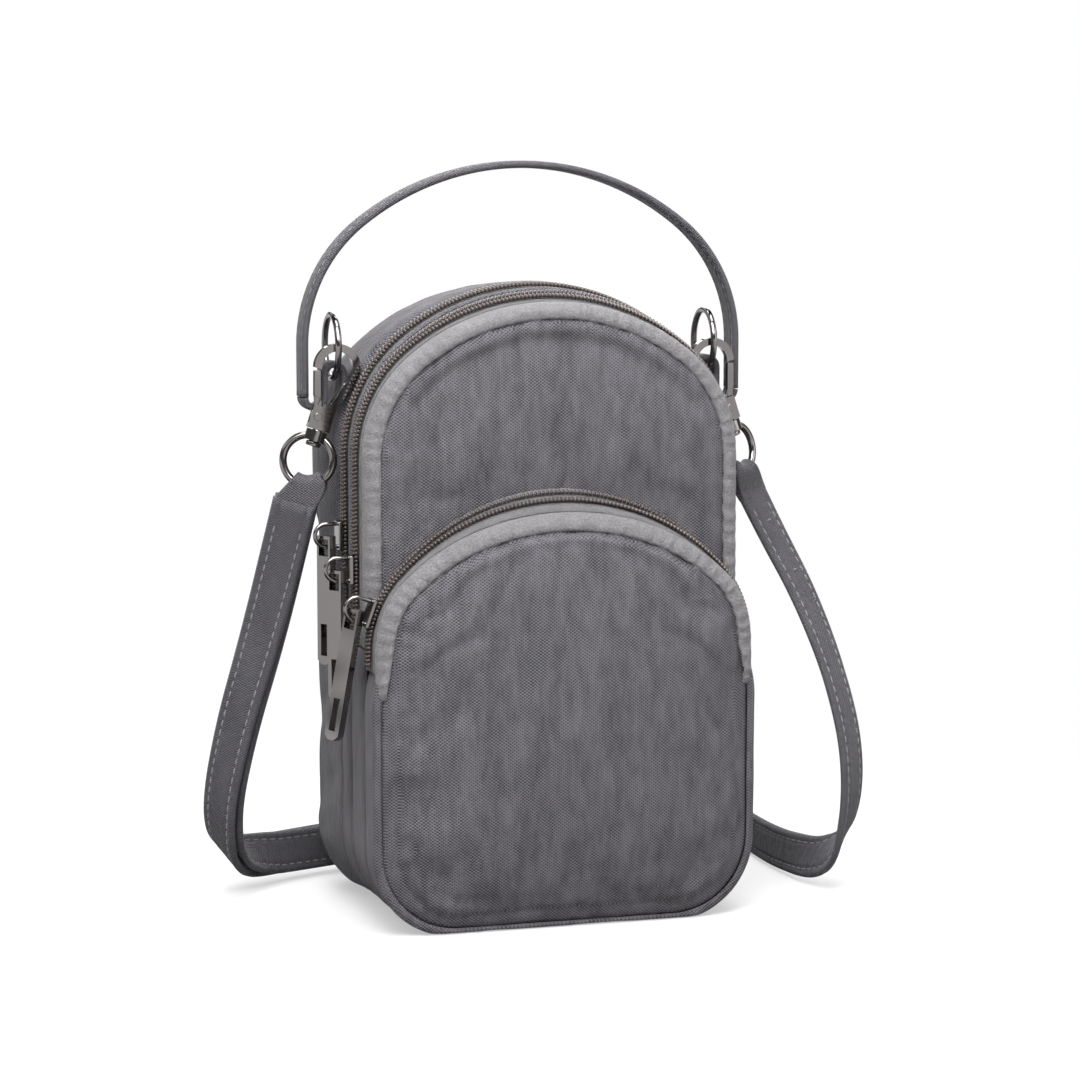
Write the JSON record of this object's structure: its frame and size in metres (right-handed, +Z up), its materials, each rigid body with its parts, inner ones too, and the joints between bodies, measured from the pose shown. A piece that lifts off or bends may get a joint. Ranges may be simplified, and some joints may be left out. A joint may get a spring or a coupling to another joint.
{
  "type": "phone pouch",
  "caption": "Small upright crossbody phone pouch with a domed top, zipped compartments, a zipped front pocket, a top handle and a clip-on shoulder strap.",
  "frame": {"origin": "middle of the base, on the floor", "axes": "+X to the viewer's right, front pocket towards -Y, +Z up"},
  "size_m": [0.2121, 0.1982, 0.238],
  "materials": {
    "nylon": "matt crinkled nylon",
    "edge tape": "pale grey twill tape",
    "zip tape": "woven zip tape",
    "zip coil": "glossy nylon coil",
    "lining": "thin grey lining",
    "webbing": "stitched folded nylon strap",
    "gunmetal": "polished dark gunmetal plating",
    "spring steel": "spring steel"
  },
  "bodies": {
    "pouch": {"back_panel": "nylon", "back_gusset": "nylon", "middle_strip": "nylon", "divider_panel": "lining", "front_edge_tape": "edge tape", "front_panel": "nylon", "rear_lower_gusset": "nylon", "front_lower_gusset": "nylon", "pocket_gusset": "nylon", "pocket_edge_tape": "edge tape", "pocket_panel": "nylon", "rear_zip_tape": "zip tape", "rear_zip_coil": "zip coil", "front_zip_tape": "zip tape", "front_zip_coil": "zip coil", "pocket_zip_tape": "zip tape", "pocket_zip_coil": "zip coil", "rear_lining": "lining", "main_lining": "lining", "pocket_lining": "lining", "left_ring_tab": "webbing", "left_swivel_eye": "gunmetal", "left_strap_loop": "webbing", "right_ring_tab": "webbing", "right_swivel_eye": "gunmetal", "right_strap_loop": "webbing", "strap_left_run": "webbing", "strap_back_loop": "webbing", "strap_right_run": "webbing", "strap_left_return": "webbing", "strap_adjuster": "gunmetal"},
    "handle": {"handle": "webbing"},
    "rear_slider": {"rear_slider": "gunmetal", "rear_bail": "gunmetal"},
    "rear_pull": {"rear_pull": "gunmetal"},
    "front_slider": {"front_slider": "gunmetal", "front_bail": "gunmetal"},
    "front_pull": {"front_pull": "gunmetal"},
    "pocket_slider": {"pocket_slider": "gunmetal", "pocket_bail": "gunmetal"},
    "pocket_pull": {"pocket_pull": "gunmetal"},
    "left_ring": {"left_ring": "gunmetal"},
    "left_hook": {"left_hook": "gunmetal", "left_gate_rivet": "gunmetal", "left_gate_spring": "spring steel", "left_swivel_stud": "gunmetal"},
    "left_gate": {"left_gate": "gunmetal"},
    "right_ring": {"right_ring": "gunmetal"},
    "right_hook": {"right_hook": "gunmetal", "right_gate_rivet": "gunmetal", "right_gate_spring": "spring steel", "right_swivel_stud": "gunmetal"},
    "right_gate": {"right_gate": "gunmetal"}
  },
  "joints": [
    {"name": "handle_swing", "type": "hinge", "parent": "pouch", "child": "handle", "pos_m": [0, 0.011, 0.169], "axis": [1, 0, 0], "range_deg": [-75, 75], "stiffness_Nm_per_rad": 0.03},
    {"name": "rear_zip_run", "type": "slide", "parent": "pouch", "child": "rear_slider", "axis": [0, 0, 1], "range_m": [-0.025, 0]},
    {"name": "front_zip_run", "type": "slide", "parent": "pouch", "child": "front_slider", "axis": [0, 0, 1], "range_m": [-0.016, 0.028]},
    {"name": "pocket_zip_run", "type": "hinge", "parent": "pouch", "child": "pocket_slider", "pos_m": [-0.027, -0.0335, 0.088], "axis": [0, 1, 0], "range_deg": [-11, 13]},
    {"name": "rear_pull_swing", "type": "hinge", "parent": "rear_slider", "child": "rear_pull", "pos_m": [-0.06745, -0.002, 0.121], "axis": [0, 1, 0], "range_deg": [0, 50]},
    {"name": "front_pull_swing", "type": "hinge", "parent": "front_slider", "child": "front_pull", "pos_m": [-0.06745, -0.017, 0.112], "axis": [0, 1, 0], "range_deg": [0, 140]},
    {"name": "pocket_pull_swing", "type": "hinge", "parent": "pocket_slider", "child": "pocket_pull", "pos_m": [-0.06501, -0.0335, 0.10183], "axis": [0, 1, 0], "range_deg": [0, 120]},
    {"name": "left_ring_swing", "type": "hinge", "parent": "pouch", "child": "left_ring", "pos_m": [-0.0623, 0.011, 0.16966], "axis": [0, 1, 0], "range_deg": [-8, 8]},
    {"name": "left_hook_swivel", "type": "hinge", "parent": "pouch", "child": "left_hook", "pos_m": [-0.06867, 0.00375, 0.15387], "axis": [0.309, 0, 0.9511], "range_deg": [-5, 5]},
    {"name": "left_gate_open", "type": "hinge", "parent": "left_hook", "child": "left_gate", "pos_m": [-0.06879, 0.00375, 0.15801], "axis": [0, 1, 0], "range_deg": [0, 15], "stiffness_Nm_per_rad": 0.02},
    {"name": "right_ring_swing", "type": "hinge", "parent": "pouch", "child": "right_ring", "pos_m": [0.0623, 0.011, 0.16966], "axis": [0, 1, 0], "range_deg": [-8, 8]},
    {"name": "right_hook_swivel", "type": "hinge", "parent": "pouch", "child": "right_hook", "pos_m": [0.06867, 0.00375, 0.15387], "axis": [-0.309, 0, 0.9511], "range_deg": [-5, 5]},
    {"name": "right_gate_open", "type": "hinge", "parent": "right_hook", "child": "right_gate", "pos_m": [0.06879, 0.00375, 0.15801], "axis": [0, -1, 0], "range_deg": [0, 15], "stiffness_Nm_per_rad": 0.02}
  ]
}
